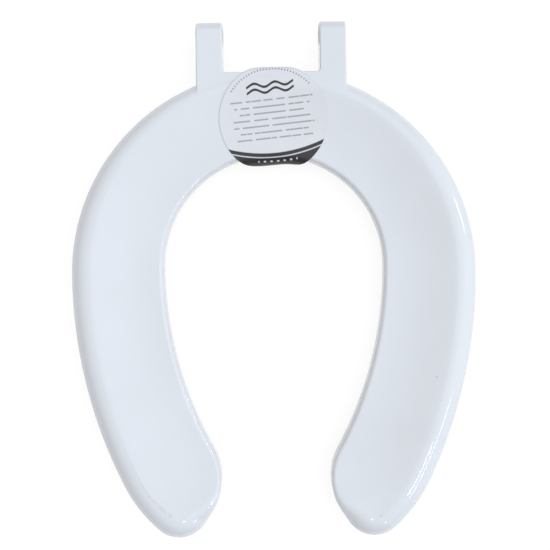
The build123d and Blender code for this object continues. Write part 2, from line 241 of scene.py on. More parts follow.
class StageSettings(bpy.types.PropertyGroup):
    """Camera, floor and studio light."""

    camera_height: length("Camera height", "Camera above the floor", 650)
    camera_aside: length("Camera aside", "Camera to the right of the ring centre", 1.0)
    camera_ahead: length("Camera ahead", "Camera in front of the ring centre", 2.6)
    camera_turn: angle("Camera turn", "Turn of the camera about the upright axis", -0.76)
    lens: FloatProperty(
        name="Lens", description="Focal length on a 36 mm sensor", default=46.38, min=1, unit="CAMERA")
    floor_size: length("Floor", "Side of the floor", 8000)
    floor_colour: colour("Floor colour", "Pale floor, as the seat sees it", (0.90, 0.88, 0.87))
    floor_share: share("Floor white", "How much of the floor's look is plain white", 0.82)
    floor_glow: strength("Floor glow", "Strength of that white", 1.06)
    room_light: share("Room light", "Light from everywhere above the floor", 0.02)
    sky_light: strength("Sky light", "Soft light from above", 1.40)
    sky_tint: colour("Sky tint", "Colour of the light from above", (0.955, 0.976, 1.0))
    sky_edge: share("Sky width", "How near its middle the light from above begins", 0.4)
    side_light: strength("Side light", "Low light from the right", 1.26)
    side_turn: angle("Side turn", "Middle of the low light, forwards from the right", 6)
    side_rise: angle("Side rise", "Middle of the low light above the floor", 12)
    side_edge: share("Side width", "How near its middle the low light begins", 0.45)
    fill_light: strength("Fill light", "Higher light from the right", 0.12)
    warm_light: strength("Warm light", "Faint light from the left", 0.24)
    warm_tint: colour("Warm tint", "Colour of the faint light from the left", (1.0, 0.66, 0.38))
    warm_rise: angle("Warm rise", "Middle of the faint light from the left above the floor", 22)
    back_light: strength("Back light", "Low light from behind", 0.30)
    back_rise: angle("Back rise", "Middle of the light from behind above the floor", 18)
    fill_rise: angle("Fill rise", "Middle of the fill light above the floor", 40)
    fill_edge: share("Fill width", "How near its middle the fill light begins, and both faint lights", 0.5)
    lamp_reach: length("Highlight lamps", "Distance of the highlight lamps from the seat", 3000)


def clamped(value):
    return min(max(value, 0.0), 1.0)


def shares(steps, first=0):
    """Even steps from 0 to 1."""
    return [number / steps for number in range(first, steps + 1)]


def circle_meet(c1, r1, c2, r2):
    """Outward crossing point of two circles, seen from the middle of the seat."""
    way = c2 - c1
    along = (way.length_squared + r1 ** 2 - r2 ** 2) / (2 * way.length)
    across = math.sqrt(r1 ** 2 - along ** 2)
    way.normalize()
    return c1 + along * way + across * Vector((way.y, -way.x))


def toward(start, through, reach):
    return start + reach * (through - start).normalized()


class Seat:
    """Sizes, outlines and sections. Plan points are (sideways, ahead) from the ring centre."""

    def __init__(self, scene):
        plan = self.plan = scene.seat_plan
        section = self.section = scene.seat_section
        arms = self.arms = scene.seat_arms
        self.ribs = scene.seat_ribs
        self.feet = scene.seat_feet
        self.label = scene.seat_label
        self.centre_y = ring_low.y + plan.tip_reach
        self.skirt_z = ring_low.z
        self.crest_z = ring_low.z + section.body_depth
        self.foot_z = self.crest_z - section.roll_height
        self.deck_z = self.crest_z - arms.deck_drop
        self.arm_gap = arms.span / 2 - arms.width
        self.hole_r = plan.outer_r - plan.ring_width
        self.middle_in = plan.ring_width / 2
        self.flank_c = Vector((plan.outer_r - plan.flank_r, 0))
        self.hole_c = Vector((0, -plan.hole_setback))
        tip_ahead = plan.tip_reach - plan.tip_r
        tip_out = math.sqrt(plan.flank_r ** 2 - tip_ahead ** 2)
        self.tip_c = Vector((self.flank_c.x + tip_out - plan.tip_in, tip_ahead))
        self.shoulder_c = circle_meet(
            self.flank_c, plan.flank_r - plan.shoulder_r, self.tip_c, plan.shoulder_r - plan.tip_r)
        self.hole_flank_c = Vector((self.hole_r - plan.hole_flank_r, -plan.hole_setback))
        bulge_ahead = tip_ahead - plan.bulge_back
        bulge_rise = bulge_ahead + plan.hole_setback
        bulge_out = math.sqrt((plan.hole_flank_r + plan.bulge_r) ** 2 - bulge_rise ** 2)
        self.bulge_c = Vector((self.hole_flank_c.x + bulge_out, bulge_ahead))
        way = self.bulge_c - self.tip_c
        turn = math.atan2(way.y, way.x) + math.acos((plan.bulge_r - plan.tip_r) / way.length)
        self.chamfer = Vector((math.cos(turn), math.sin(turn)))
        lead = self.tip_c - self.shoulder_c
        self.tip_turn = math.atan2(lead.x, lead.y)
        self.tip_across = self.across(self.outer_side(tip_ahead, 0) + self.inner_side(tip_ahead, 0))

    def place(self, point, z):
        """Plan point to a point of the seat."""
        return Vector((point.x, self.centre_y - point.y, z))

    def on_arc(self, ahead, centre, radius, side, out):
        """Point on an arc and the normal that points out of the material."""
        rise = ahead - centre.y
        run = math.sqrt(max(radius ** 2 - rise ** 2, 0))
        return Vector((centre.x + side * run, ahead)), out * Vector((side * run, rise)) / radius

    def outer_side(self, ahead, inset):
        plan = self.plan
        if ahead <= toward(self.flank_c, self.shoulder_c, plan.flank_r - inset).y:
            return self.on_arc(ahead, self.flank_c, plan.flank_r - inset, 1, 1)
        if ahead <= toward(self.shoulder_c, self.tip_c, plan.shoulder_r - inset).y:
            return self.on_arc(ahead, self.shoulder_c, plan.shoulder_r - inset, 1, 1)
        return self.on_arc(ahead, self.tip_c, plan.tip_r - inset, 1, 1)

    def inner_side(self, ahead, inset):
        plan = self.plan
        start = self.bulge_c - (plan.bulge_r - inset) * self.chamfer
        end = self.tip_c - (plan.tip_r - inset) * self.chamfer
        if ahead <= toward(self.hole_flank_c, self.bulge_c, plan.hole_flank_r + inset).y:
            return self.on_arc(ahead, self.hole_flank_c, plan.hole_flank_r + inset, 1, -1)
        if ahead <= start.y:
            return self.on_arc(ahead, self.bulge_c, plan.bulge_r - inset, -1, 1)
        if ahead <= end.y:
            return start.lerp(end, (ahead - start.y) / (end.y - start.y)), -self.chamfer
        return self.on_arc(ahead, self.tip_c, plan.tip_r - inset, -1, 1)

    def back_station(self, turn, inset):
        """Outer and inner outline points on a ray from the ring centre."""
        ray = Vector((math.cos(turn), -math.sin(turn)))
        setback = self.plan.hole_setback
        reach = math.sqrt((self.hole_r + inset) ** 2 - (setback * ray.x) ** 2) - setback * ray.y
        inner = reach * ray
        normal = (self.hole_c - inner).normalized()
        if inner.y > -setback:
            inner, normal = self.inner_side(inner.y, inset)
        return (self.plan.outer_r - inset) * ray, ray, inner, normal

    def stations(self, inset):
        """Paired outline points with their normals, from the rear middle to the right tip."""
        plan = self.plan
        tip_r = plan.tip_r - inset
        leg_end = self.tip_c.y + tip_r * math.cos(self.tip_turn)
        ahead = [leg_end * part for part in shares(plan.leg_steps)[:-1]]
        turns = [self.tip_turn * (1 - part) for part in shares(plan.tip_steps)]
        ahead += [self.tip_c.y + tip_r * math.cos(turn) for turn in turns]
        turns = [math.pi / 2 * (1 - part) for part in shares(plan.back_steps)[:-1]]
        found = [self.back_station(turn, inset) for turn in turns]
        return found + [self.outer_side(a, inset) + self.inner_side(a, inset) for a in ahead]

    def roll_at(self, outer):
        """Width of the rolled rim at a point of the outer outline. It narrows round the back."""
        section = self.section
        behind = max(-outer.y, 0) / outer.length
        return section.roll_in - (section.roll_in - section.back_roll_in) * behind ** 2

    def across(self, station):
        """Width of the ring at one station, squarely across it."""
        outer, normal, inner, inner_normal = station
        slope = (abs(normal.x) + abs(inner_normal.x)) / 2 if outer.y > 0 else 1
        return (inner - outer).length * slope

    def kept_fall(self, ahead):
        """Share of the dish's fall that is kept this far ahead. It fades out at a tip's crest."""
        left = self.tip_c.y + self.plan.tip_r - self.section.roll_in - ahead
        return 1 - (1 - clamped(left / self.section.tip_rise)) ** 2

    def edge_shape(self, station, inset):
        """Width of the inner edge at one station, the dish's full fall, and the edge's top and foot."""
        outer, _, inner, inner_normal = station
        plan = self.plan
        section = self.section
        straight = plan.tip_reach - plan.tip_r / 2 - self.bulge_c.y
        tip_share = clamped((inner.y - self.bulge_c.y) / straight) ** 2
        small = section.core_edge_r if inset else section.edge_r
        roll = self.roll_at(outer) - inset
        across = max(self.across(station) + 2 * inset, self.tip_across)
        dish_width = plan.ring_width - section.roll_in
        fall = section.dish_depth * clamped((across - section.roll_in) / dish_width)
        edge = small + (roll - small) * tip_share
        top = self.crest_z - inset - fall * self.kept_fall(inner.y - edge * inner_normal.y)
        foot = top - (top - self.foot_z) * tip_share - small * (1 - tip_share)
        return edge, fall, top, foot

    def column(self, station, inset):
        """Closed section loop, from the outer skirt over the dish to the inner skirt."""
        outer, normal, inner, inner_normal = station
        section = self.section
        roll = self.roll_at(outer) - inset
        crest_z = self.crest_z - inset
        edge, fall, edge_top, edge_foot = self.edge_shape(station, inset)
        base = self.skirt_z - (section.wall if inset else 0)
        rows = skirt_rows(section, base, self.foot_z, inset)
        rows += round_rows(section, roll, self.foot_z, crest_z)
        points = [self.place(outer - row[0] * normal, row[1]) for row in rows]
        crest = outer - roll * normal
        dish_end = inner - edge * inner_normal
        for part in shares(section.dish_steps, 1)[:-1]:
            run, drop = dish_shares(section, part)
            point = crest.lerp(dish_end, run)
            points.append(self.place(point, crest_z - fall * drop * self.kept_fall(point.y)))
        rows = skirt_rows(section, base, edge_foot, inset) + round_rows(section, edge, edge_foot, edge_top)
        points += [self.place(inner - row[0] * inner_normal, row[1]) for row in reversed(rows)]
        return points


def skirt_rows(section, base, foot, inset):
    """Rows of an upright skirt with a rounded lower edge, as (inward, z)."""
    if inset:
        return [(0, base), (0, (base + foot) / 2)]
    edge = section.skirt_edge_r
    turns = [math.pi / 2 * part for part in shares(3)]
    rows = [(edge * (1 - math.sin(a)), base + edge * (1 - math.cos(a))) for a in turns]
    return rows + [(0, base + edge + (foot - base - edge) * part) for part in (1 / 3, 2 / 3)]


def round_rows(section, width, foot, top):
    """Rows of a quarter round from an upright foot to a level top, as (inward, z)."""
    turns = [math.pi / 2 * part for part in shares(section.roll_steps)]
    return [(width * (1 - math.cos(a)), foot + (top - foot) * math.sin(a)) for a in turns]


def dish_shares(section, t):
    """How far the dish has run and fallen at t, as shares of its width and depth."""
    blend = 3 * (1 - t) * t ** 2
    run = 3 * (1 - t) ** 2 * t * section.dish_start + blend * (1 - section.dish_end) + t ** 3
    return run, blend + t ** 3


def linked(name, mesh):
    """New object with this mesh in the scene."""
    made = bpy.data.objects.new(name, mesh)
    bpy.context.scene.collection.objects.link(made)
    return made


def from_shape(name, shape):
    """New object from a bmesh, which is freed."""
    mesh = bpy.data.meshes.new(name)
    shape.to_mesh(mesh)
    shape.free()
    return linked(name, mesh)


def both_sides(loops):
    """Loops of the right half, led in by those of the left half. The first loop is the middle one."""
    return [[Vector((-p.x, p.y, p.z)) for p in loop] for loop in reversed(loops[1:])] + loops


def loft(name, loops, joined=False, capped=True):
    """Mesh object through loops of equal count. The ends are joined, capped or left as they are."""
    shape = bmesh.new()
    grid = [[shape.verts.new(point) for point in loop] for loop in loops]
    pairs = list(zip(grid, grid[1:]))
    if joined:
        pairs.append((grid[-1], grid[0]))
    for one, two in pairs:
        for number in range(len(one)):
            following = (number + 1) % len(one)
            shape.faces.new((one[number], one[following], two[following], two[number]))
    if capped and not joined:
        shape.faces.new(grid[0])
        shape.faces.new(grid[-1])
    bmesh.ops.remove_doubles(shape, verts=shape.verts, dist=weld)
    bmesh.ops.recalc_face_normals(shape, faces=shape.faces)
    return from_shape(name, shape)


def applied(piece):
    """Turns the piece and its modifiers into a plain mesh."""
    graph = bpy.context.evaluated_depsgraph_get()
    mesh = bpy.data.meshes.new_from_object(piece.evaluated_get(graph))
    piece.modifiers.clear()
    piece.data = mesh
    return piece


def carve(piece, tool, operation):
    """Applies a boolean with the tool, then removes the tool."""
    cut = piece.modifiers.new("cut", "BOOLEAN")
    cut.operation = operation
    cut.solver = "MANIFOLD"
    cut.object = tool
    before = len(piece.data.vertices)
    applied(piece)
    bpy.data.objects.remove(tool)
    if len(piece.data.vertices) in (0, before):
        raise RuntimeError(f"A cut of {piece.name} failed")


def merged(name, pieces):
    """One object from several that don't touch."""
    shape = bmesh.new()
    for piece in pieces:
        shape.from_mesh(piece.data)
        bpy.data.objects.remove(piece)
    return from_shape(name, shape)


def shade(piece, sharp_degrees):
    """Smooth faces, with sharp edges past an angle and normals that keep flats flat."""
    mesh = piece.data
    mesh.shade_smooth()
    mesh.set_sharp_from_angle(angle=math.radians(sharp_degrees))
    weigh = piece.modifiers.new("weigh", "WEIGHTED_NORMAL")
    weigh.keep_sharp = True
    applied(piece)


def finish(piece, material, slot, *nodes):
    """Gives the piece its material and its body, and hides the CAD nodes that it stands for."""
    piece.data.materials.clear()
    piece.data.materials.append(material)
    for face in piece.data.polygons:
        face.material_index = 0
    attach(piece, "root")
    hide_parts(*nodes)


def plan_loop(points, z):
    return [Vector((x, y, z)) for x, y in points]


def arc_points(centre, radius, start, end, steps):
    """Points on an arc, angles in degrees."""
    turns = [math.radians(start + (end - start) * part) for part in shares(steps)]
    return [(centre[0] + radius * math.cos(a), centre[1] + radius * math.sin(a)) for a in turns]


def arms_and_deck(seat):
    """Flat deck with the two arms, before it joins the ring."""
    arms = seat.arms
    root_steps, nose_steps, deck_steps, edge_steps = 6, 40, 60, 6
    block_crease = 35
    out = arms.span / 2
    end = ring_high.y
    root_x = seat.arm_gap - arms.root_r
    root_y = seat.centre_y + seat.plan.outer_r - arms.deck_back + arms.root_r
    half = [(out, end), (seat.arm_gap, end)]
    half += reversed(arc_points((root_x, root_y), arms.root_r, -90, 0, root_steps))
    reach_in = seat.plan.outer_r - seat.section.back_roll_in - arms.deck_lap
    start = math.degrees(math.acos(out / reach_in))
    inside = arc_points((0, seat.centre_y), reach_in, 180 - start, start, deck_steps)
    outline = half + [(-x, y) for x, y in reversed(half)] + inside
    block = loft("block", [plan_loop(outline, seat.skirt_z), plan_loop(outline, seat.deck_z)])
    nose_r = (seat.deck_z - seat.skirt_z) / 2
    nose = arc_points((end - nose_r, seat.skirt_z + nose_r), nose_r, -90, 90, nose_steps)
    side = [(seat.centre_y, seat.skirt_z)] + nose + [(seat.centre_y, seat.deck_z)]
    sweep = loft("side", [[Vector((x, y, z)) for y, z in side] for x in (-2 * out, 2 * out)])
    carve(block, sweep, "INTERSECT")
    soften = block.modifiers.new("soften", "BEVEL")
    soften.limit_method = "ANGLE"
    soften.angle_limit = math.radians(block_crease)
    soften.width = arms.edge_r
    soften.segments = edge_steps
    return applied(block)


def upright_box(name, low, high):
    x0, y0, z0 = low
    x1, y1, z1 = high
    outline = [(x0, y0), (x1, y0), (x1, y1), (x0, y1)]
    return loft(name, [plan_loop(outline, z0), plan_loop(outline, z1)])


def ring_solid(name, seat, inset, behind):
    """Solid between the ring's outlines, from one tip round the back to the other."""
    right = [seat.column(station, inset) for station in seat.stations(inset)]
    solid = loft(name, both_sides(right), capped=False)
    line = seat.centre_y + behind
    past = seat.plan.outer_r
    cut = upright_box("behind", (-seat.arm_gap, line, -past), (seat.arm_gap, line + past, past))
    carve(solid, cut, "DIFFERENCE")
    return solid


def arm_pockets(seat):
    """Hollows under both arms."""
    wall = seat.section.wall
    low_y = seat.centre_y + seat.plan.outer_r - seat.arms.width
    high_y = ring_high.y - (seat.deck_z - seat.skirt_z)
    top = seat.deck_z - wall
    x0 = seat.arm_gap + wall
    x1 = seat.arms.span / 2 - wall
    base = seat.skirt_z - wall
    sides = [upright_box("pocket", (a, low_y, base), (b, high_y, top)) for a, b in ((x0, x1), (-x1, -x0))]
    return merged("pockets", sides)


def rib_profile(seat):
    """Section of a rib as (aside, z), thinner towards its free edge."""
    ribs = seat.ribs
    low = seat.skirt_z + ribs.rise
    thin = (ribs.width - ribs.draft) / 2
    return [(-thin, low), (thin, low), (ribs.width / 2, seat.crest_z), (-ribs.width / 2, seat.crest_z)]


def middle_rib(seat):
    """Rib along the ring's middle line, from tip to tip."""
    plan = seat.plan
    back_steps, leg_steps = 60, 30
    back_r = plan.outer_r - seat.middle_in
    leg_r = plan.flank_r - seat.middle_in
    last = math.asin((plan.tip_reach - plan.tip_r / 2) / leg_r)
    spots = [(Vector((0, 0)), back_r, math.pi / 2 * (part - 1)) for part in shares(back_steps)]
    spots += [(seat.flank_c, leg_r, last * part) for part in shares(leg_steps, 1)]
    right = []
    for centre, radius, turn in spots:
        ray = Vector((math.cos(turn), math.sin(turn)))
        right.append([seat.place(centre + (radius + aside) * ray, z) for aside, z in rib_profile(seat)])
    return loft("middle_rib", both_sides(right))


class Signal:
    """A node's socket that can be used in Python sums."""

    def __init__(self, nodes, socket):
        self.nodes = nodes
        self.socket = socket

    def sum(self, operation, one, two=0):
        return self.nodes.node("ShaderNodeMath", {0: one, 1: two}, operation=operation)

    def __add__(self, other):
        return self.sum("ADD", self, other)

    def __radd__(self, other):
        return self.sum("ADD", other, self)

    def __sub__(self, other):
        return self.sum("SUBTRACT", self, other)

    def __rsub__(self, other):
        return self.sum("SUBTRACT", other, self)

    def __mul__(self, other):
        return self.sum("MULTIPLY", self, other)

    def __rmul__(self, other):
        return self.sum("MULTIPLY", other, self)

    def __truediv__(self, other):
        return self.sum("DIVIDE", self, other)

    def __pow__(self, other):
        return self.sum("POWER", self, other)

    def __abs__(self):
        return self.sum("ABSOLUTE", self)

    def most(self, other):
        return self.sum("MAXIMUM", self, other)

    def least(self, other):
        return self.sum("MINIMUM", self, other)

    def sine(self):
        return self.sum("SINE", self)

    def floor(self):
        return self.sum("FLOOR", self)

    def angle_with(self, other):
        return self.sum("ARCTAN2", self, other)

    def length_with(self, other):
        return (self * self + other * other) ** 0.5

    def beat(self, step):
        """Position within a repeat, from 0 to 1."""
        return self.sum("FRACT", self / step)

    def rises(self, low, high):
        """0 below low, 1 above high, smooth between."""
        limits = {"Value": self, "From Min": low, "From Max": high}
        return self.nodes.node("ShaderNodeMapRange", limits, interpolation_type="SMOOTHSTEP")

    def near(self, low, high):
        """1 where it is nearer to 0 than low, 0 beyond high, smooth between."""
        return 1 - abs(self).rises(low, high)


class Nodes:
    """A node tree, built one node at a time."""

    def __init__(self, tree):
        self.tree = tree

    def node(self, kind, values=None, output=0, **settings):
        """Adds a node: its settings first, then the values or links of its sockets."""
        node = self.tree.nodes.new(kind)
        for name, value in settings.items():
            setattr(node, name, value)
        for name, value in (values or {}).items():
            if isinstance(value, Signal):
                self.tree.links.new(value.socket, node.inputs[name])
            else:
                node.inputs[name].default_value = value
        return Signal(self, node.outputs[output]) if node.outputs else None

    def outputs(self, kind, values=None):
        """All outputs of a new node."""
        return [Signal(self, socket) for socket in self.node(kind, values).socket.node.outputs]


class Repeat(Nodes):
    """Tree that puts turned copies of a mesh on points and makes one mesh of them."""

    def __init__(self, name, **sockets):
        super().__init__(bpy.data.node_groups.new(name, "GeometryNodeTree"))
        sides = self.tree.interface
        for socket, kind in {"Geometry": "Geometry", **sockets}.items():
            sides.new_socket(socket, in_out="INPUT", socket_type="NodeSocket" + kind)
        sides.new_socket("Geometry", in_out="OUTPUT", socket_type="NodeSocketGeometry")
        self.given = {given.socket.name: given for given in self.outputs("NodeGroupInput")}

    def number(self):
        return self.node("GeometryNodeInputIndex")

    def spin(self, turn):
        """Rotation by this turn about the upright axis."""
        return self.node("FunctionNodeEulerToRotation", {0: self.node("ShaderNodeCombineXYZ", {"Z": turn})})

    def spread(self, mesh, points, spin, material):
        """Ends the tree in the copies, as a plain mesh with this material."""
        many = self.node("GeometryNodeInstanceOnPoints", {
            "Points": points, "Instance": mesh, "Rotation": spin})
        real = self.node("GeometryNodeRealizeInstances", {"Geometry": many})
        coated = self.node("GeometryNodeSetMaterial", {"Geometry": real, "Material": material})
        self.node("NodeGroupOutput", {"Geometry": coated})
        return self.tree


def fan_tree(material):
    """Tree that repeats a mesh along an arc, turned with it. The mesh comes in along +X from the centre."""
    g = Repeat("repeat_on_arc", Count="Int", Centre="Vector", Radius="Float", Step="Float", Start="Float")
    line = g.node("GeometryNodeMeshLine", {"Count": g.given["Count"]})
    spin = g.spin(g.number() * g.given["Step"] + g.given["Start"])
    out = g.node("ShaderNodeCombineXYZ", {"X": g.given["Radius"]})
    reach = g.node("FunctionNodeRotateVector", {"Vector": out, "Rotation": spin})
    spot = g.node("ShaderNodeVectorMath", {0: reach, 1: g.given["Centre"]}, operation="ADD")
    points = g.node("GeometryNodeSetPosition", {"Geometry": line, "Position": spot})
    return g.spread(g.given["Geometry"], points, spin, material)


def spots_tree(material):
    """Tree that puts a mesh on each given point, each turned a step further than the last."""
    g = Repeat("screw_on_spot", Screw="Object", Turn="Float")
    screw = g.node("GeometryNodeObjectInfo", {"Object": g.given["Screw"]}, "Geometry")
    return g.spread(screw, g.given["Geometry"], g.spin(g.number() * g.given["Turn"]), material)


def repeat(piece, tree, values):
    """Runs a node tree on a piece and keeps the result as a plain mesh."""
    run = piece.modifiers.new("repeat", "NODES")
    run.node_group = tree
    for socket in tree.interface.items_tree:
        if socket.in_out == "INPUT" and socket.name in values:
            run[socket.identifier] = values[socket.name]
    return applied(piece)


def cross_ribs(seat, material):
    """Ribs across the round back and both legs."""
    ribs = seat.ribs
    plan = seat.plan
    deep = plan.ring_width + seat.section.wall
    tree = fan_tree(material)
    back_start = math.pi / 2 - (ribs.back_count - 1) / 2 * ribs.back_step
    fans = [
        (0, plan.outer_r, ribs.back_count, ribs.back_step, back_start),
        (seat.flank_c.x, plan.flank_r, ribs.leg_count, -ribs.leg_step, 0),
        (-seat.flank_c.x, plan.flank_r, ribs.leg_count, ribs.leg_step, math.pi)]
    made = []
    for x, radius, number, step, start in fans:
        rib = loft("rib", [[Vector((end, y, z)) for y, z in rib_profile(seat)] for end in (-deep, 0)])
        centre = (x, seat.centre_y, 0)
        made.append(repeat(rib, tree, {
            "Count": number, "Centre": centre, "Radius": radius, "Step": step, "Start": start}))
    return merged("cross_ribs", made)


def buffer_spots(seat):
    """Places of the four buffers: name, centre in plan and direction of the long axis."""
    feet = seat.feet
    plan = seat.plan
    spots = []
    leg_r = plan.flank_r - seat.middle_in
    front = math.asin((plan.tip_reach - feet.front_back) / leg_r)
    back = feet.back_angle
    for side, name in ((-1, "left"), (1, "right")):
        ray = Vector((side * math.cos(front), -math.sin(front)))
        centre = Vector((side * seat.flank_c.x, seat.centre_y)) + leg_r * ray
        spots.append((f"front_{name}", centre, Vector((-ray.y, ray.x))))
        ray = Vector((side * math.cos(back), math.sin(back)))
        centre = Vector((0, seat.centre_y)) + (plan.outer_r - seat.middle_in) * ray
        spots.append((f"back_{name}", centre, Vector((-ray.y, ray.x))))
    return spots


def stadium(centre, along, half, radius, z, steps=16):
    """Loop round a bar with round ends, or round a circle where the bar's straight half is 0."""
    across = Vector((-along.y, along.x))
    parts = shares(steps) if half else shares(steps + 1)[:-1]
    points = []
    for end in (1, -1):
        for part in parts:
            turn = math.pi * (part - 0.5)
            p = centre + end * (half * along + radius * (math.cos(turn) * along + math.sin(turn) * across))
            points.append(Vector((p.x, p.y, z)))
    return points


def lathe(name, profile, centre, axis, steps=72):
    """Solid turned from a closed profile of (radius, height) about a level axis along X."""
    side = Vector((0, 1, 0))
    across = axis.cross(side)
    loops = []
    for part in shares(steps)[:-1]:
        turn = 2 * math.pi * part
        ray = math.cos(turn) * side + math.sin(turn) * across
        loops.append([centre + radius * ray + height * axis for radius, height in profile])
    return loft(name, loops, joined=True)


def bush_seats(seat):
    """Bores through both arms with a counterbore at each face."""
    arms = seat.arms
    gap = arms.seat_gap
    bush_r = bore["dims"]["r_mm"] * MM + arms.bush_wall + gap
    flange_r = arms.flange_r + gap
    half = arms.width / 2
    sink = half - arms.flange_depth + arms.flange_proud
    over = half + arms.flange_depth
    profile = [(0, -over), (flange_r, -over), (flange_r, -sink), (bush_r, -sink),
               (bush_r, sink), (flange_r, sink), (flange_r, over), (0, over)]
    made = []
    for side in (-1, 1):
        centre = Vector((side * (seat.arm_gap + half), *bore["pos_m"][1:]))
        made.append(lathe("bush_seat", profile, centre, Vector((1, 0, 0))))
    return merged("bush_seats", made)


def pads_and_holes(seat):
    """Pads that carry the buffers, and the holes in them for the screws."""
    feet = seat.feet
    thread_room = 0.03 * MM
    end_room = 0.4 * MM
    hole_steps = 15
    base = seat.skirt_z - seat.section.wall
    half = (feet.length - feet.width) / 2
    pad_r = feet.width / 2 + seat.ribs.pad_border
    hole_r = feet.screw_r + thread_room
    hole_top = feet.head_recess + feet.head_depth + feet.screw_length + end_room
    pads = []
    holes = []
    for _, centre, along in buffer_spots(seat):
        pads.append(loft("pad", [stadium(centre, along, half, pad_r, z) for z in (base, seat.crest_z)]))
        ends = [stadium(centre, along, 0, hole_r, z, hole_steps) for z in (0, hole_top)]
        holes.append(loft("hole", ends))
    return merged("pads", pads), merged("holes", holes)


def seat_moulding(seat, material):
    """Ring, deck and arms in one moulding, hollow and ribbed below."""
    wall = seat.section.wall
    deck_reach = seat.plan.outer_r - seat.arms.deck_back
    body = ring_solid("moulded_seat", seat, 0, deck_reach)
    carve(body, arms_and_deck(seat), "UNION")
    hollow = ring_solid("hollow", seat, wall, deck_reach - wall)
    carve(hollow, arm_pockets(seat), "UNION")
    pads, holes = pads_and_holes(seat)
    carve(hollow, cross_ribs(seat, material), "DIFFERENCE")
    carve(hollow, middle_rib(seat), "DIFFERENCE")
    carve(hollow, pads, "DIFFERENCE")
    carve(body, hollow, "DIFFERENCE")
    carve(body, bush_seats(seat), "DIFFERENCE")
    carve(body, holes, "DIFFERENCE")
    shade(body, wide_crease)
    return body


def bend(start, top, radius, degrees, steps):
    """Points that bend down from a level line. A negative radius bends backwards."""
    turns = [math.radians(degrees) * part for part in shares(steps, 1)]
    return [(start + radius * math.sin(a), top - abs(radius) * (1 - math.cos(a))) for a in turns]


def label_path(seat, turn):
    """Line of the label in section on one ray, as (length from the middle, inward, z)."""
    deck_steps, dish_steps = 10, 30
    rear_degrees, front_degrees = 130, 120
    sizes = seat.label
    arms = seat.arms
    station = seat.back_station(turn, 0)
    edge, _, edge_top, _ = seat.edge_shape(station, 0)
    roll = seat.roll_at(station[0])
    outer_r = seat.plan.outer_r
    deck_end = outer_r - (outer_r - arms.deck_back) / math.sin(turn) + arms.edge_r / 2
    line = bend(deck_end, seat.deck_z, -sizes.rear_bend_r, rear_degrees, deck_steps)[::-1]
    line.append((deck_end, seat.deck_z))
    for part in shares(deck_steps):
        climbed = arms.deck_drop * part * part * (3 - 2 * part)
        line.append((sizes.climb + (roll - sizes.climb) * part, seat.deck_z + climbed))
    dish_end = (station[2] - station[0]).length - edge
    for part in shares(dish_steps, 1):
        run, drop = dish_shares(seat.section, part)
        line.append((roll + (dish_end - roll) * run, seat.crest_z + (edge_top - seat.crest_z) * drop))
    wave = 1 + sizes.wave * math.sin(sizes.wave_turns * (turn - math.pi / 2) + sizes.wave_start)
    line += bend(dish_end, edge_top, sizes.front_bend_r * wave, front_degrees, dish_steps)
    lengths = [0]
    for one, two in zip(line, line[1:]):
        lengths.append(lengths[-1] + math.dist(one, two))
    middle = reach_on(lengths, line, sizes.back_in)
    return [(s - middle, d, z) for s, (d, z) in zip(lengths, line)]


def reach_on(lengths, line, inward):
    """Length along a line at which it is this far inward."""
    for number in range(len(line) - 1):
        one, two = line[number][0], line[number + 1][0]
        if one <= inward <= two:
            step = lengths[number + 1] - lengths[number]
            return lengths[number] + step * (inward - one) / (two - one)
    raise RuntimeError("the label's middle isn't on the deck")


def on_path(path, s):
    """Inward distance and height at a length along a label path."""
    for one, two in zip(path, path[1:]):
        if s <= two[0]:
            part = (s - one[0]) / (two[0] - one[0])
            return one[1] + (two[1] - one[1]) * part, one[2] + (two[2] - one[2]) * part
    return path[-1][1:]


def disc_faces(shape, middle, rows):
    """Faces of a disc through rows of points round its middle."""
    for spoke in range(len(rows[0])):
        following = (spoke + 1) % len(rows[0])
        shape.faces.new((middle, rows[0][spoke], rows[0][following]))
        for one, two in zip(rows, rows[1:]):
            shape.faces.new((one[spoke], two[spoke], two[following], one[following]))


def round_sticker(seat):
    """Paper label that follows the deck and bends down at both free edges."""
    sizes = seat.label
    outer_r = seat.plan.outer_r
    shape = bmesh.new()
    places = shape.loops.layers.uv.new("print")
    flat = {}

    def vertex(across, along):
        x = sizes.aside + across
        y = outer_r - sizes.back_in + along
        turn = math.atan2(y, x)
        inward, z = on_path(label_path(seat, turn), outer_r - math.hypot(x, y) - sizes.back_in)
        out = outer_r - inward
        top = z + sizes.glue + sizes.paper
        made = shape.verts.new((out * math.cos(turn), seat.centre_y + out * math.sin(turn), top))
        flat[made] = (across, along)
        return made

    middle = vertex(0, 0)
    turns = [2 * math.pi * part for part in shares(sizes.spokes)[:-1]]
    rays = [(math.cos(turn), math.sin(turn)) for turn in turns]
    radii = [sizes.radius * part for part in shares(sizes.rings, 1)]
    disc_faces(shape, middle, [[vertex(radius * x, radius * y) for x, y in rays] for radius in radii])
    turned = Matrix.Rotation(-sizes.print_turn, 2)
    for face in shape.faces:
        for corner in face.loops:
            place = turned @ Vector(flat[corner.vert]) / (2 * sizes.radius)
            corner[places].uv = (place.x + 0.5, place.y + 0.5)
    made = from_shape("deck_label", shape)
    thick = made.modifiers.new("thick", "SOLIDIFY")
    thick.thickness = sizes.paper
    thick.offset = -1
    applied(made)
    made.data.shade_smooth()
    made.data.set_sharp_from_angle(angle=math.radians(label_crease))
    return made


